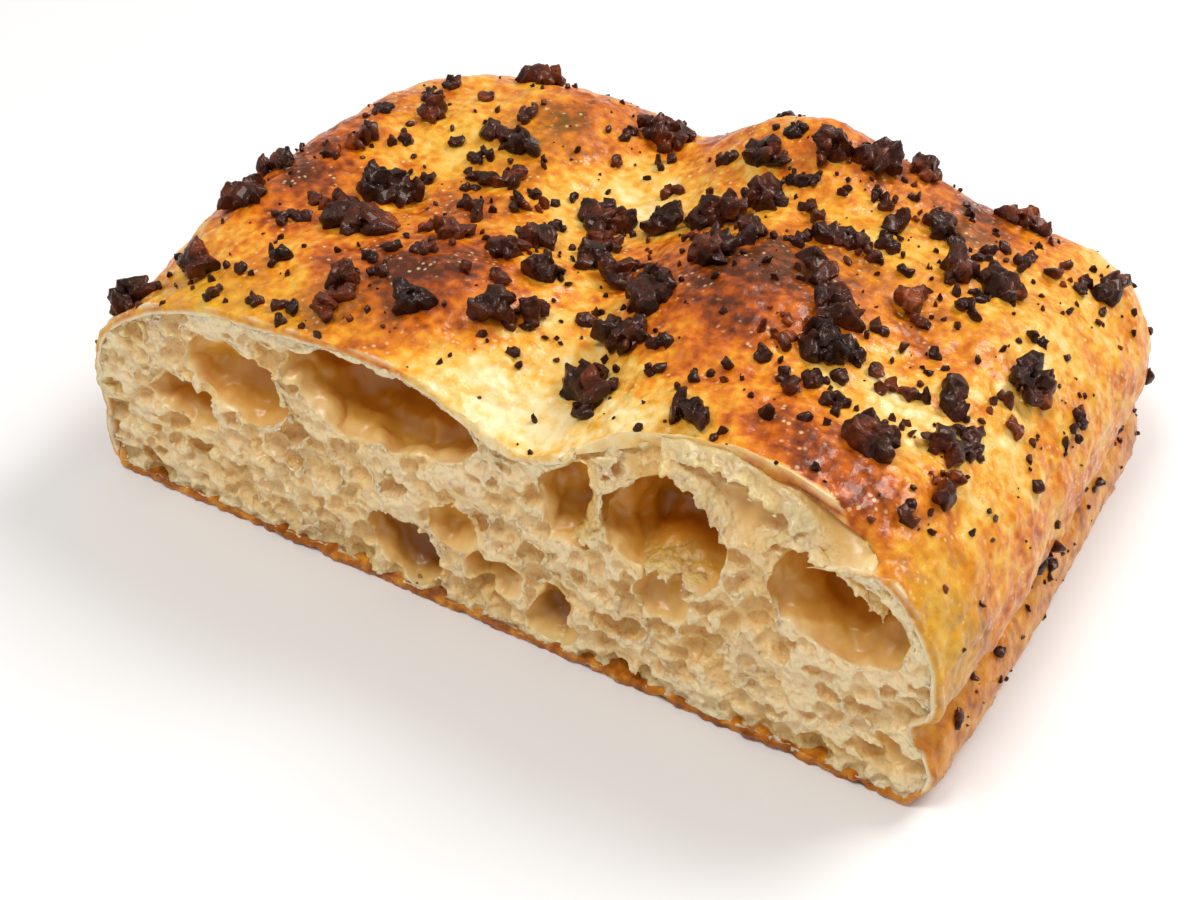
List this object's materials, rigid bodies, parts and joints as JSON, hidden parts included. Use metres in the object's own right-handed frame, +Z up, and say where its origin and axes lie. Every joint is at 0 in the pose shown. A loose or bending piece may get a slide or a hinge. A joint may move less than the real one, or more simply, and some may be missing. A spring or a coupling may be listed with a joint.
{
  "type": "focaccia piece",
  "caption": "Thick piece of baked focaccia with one cut face showing big open bubbles, and dark sticky crumbs of topping baked onto its lobed crust.",
  "frame": {"origin": "middle of the slab's flat underside, on the surface that it stands on", "axes": "+X along the cut face towards its right end, as seen looking at the cut; -Y out of the cut face; +Z up from the base crust"},
  "size_m": [0.1442, 0.1, 0.0492],
  "materials": {
    "baked_dough": "oiled golden crust, browned on its lobes, with a pale cream open crumb on the cut face",
    "topping": "sticky, glossy, near-black to maroon"
  },
  "bodies": {
    "root": {"focaccia_slab": "baked_dough", "topping_crumb_01": "topping", "topping_crumb_02": "topping", "topping_crumb_03": "topping", "topping_crumb_04": "topping", "topping_crumb_05": "topping", "topping_crumb_06": "topping", "topping_crumb_07": "topping", "topping_crumb_08": "topping", "topping_crumb_09": "topping", "topping_crumb_10": "topping", "topping_crumb_11": "topping", "topping_crumb_12": "topping", "topping_crumb_13": "topping", "topping_crumb_14": "topping", "topping_crumb_15": "topping", "topping_crumb_16": "topping", "topping_crumb_17": "topping", "topping_crumb_18": "topping", "topping_crumb_19": "topping", "topping_crumb_20": "topping", "topping_crumb_21": "topping", "topping_crumb_22": "topping", "topping_crumb_23": "topping", "topping_crumb_24": "topping", "topping_crumb_25": "topping", "topping_crumb_26": "topping", "topping_crumb_27": "topping", "topping_crumb_28": "topping", "topping_crumb_29": "topping", "topping_crumb_30": "topping", "topping_crumb_31": "topping", "topping_crumb_32": "topping", "topping_crumb_33": "topping", "topping_crumb_34": "topping", "topping_crumb_35": "topping", "topping_crumb_36": "topping", "topping_crumb_37": "topping", "topping_crumb_38": "topping", "topping_crumb_39": "topping", "topping_crumb_40": "topping", "topping_crumb_41": "topping", "topping_crumb_42": "topping", "topping_crumb_43": "topping", "topping_crumb_44": "topping", "topping_crumb_45": "topping", "topping_crumb_46": "topping", "topping_crumb_47": "topping", "topping_crumb_48": "topping", "topping_crumb_49": "topping", "topping_crumb_50": "topping", "topping_crumb_51": "topping", "topping_crumb_52": "topping", "topping_crumb_53": "topping", "topping_crumb_54": "topping", "topping_crumb_55": "topping", "topping_crumb_56": "topping", "topping_crumb_57": "topping", "topping_crumb_58": "topping", "topping_crumb_59": "topping"}
  },
  "joints": []
}
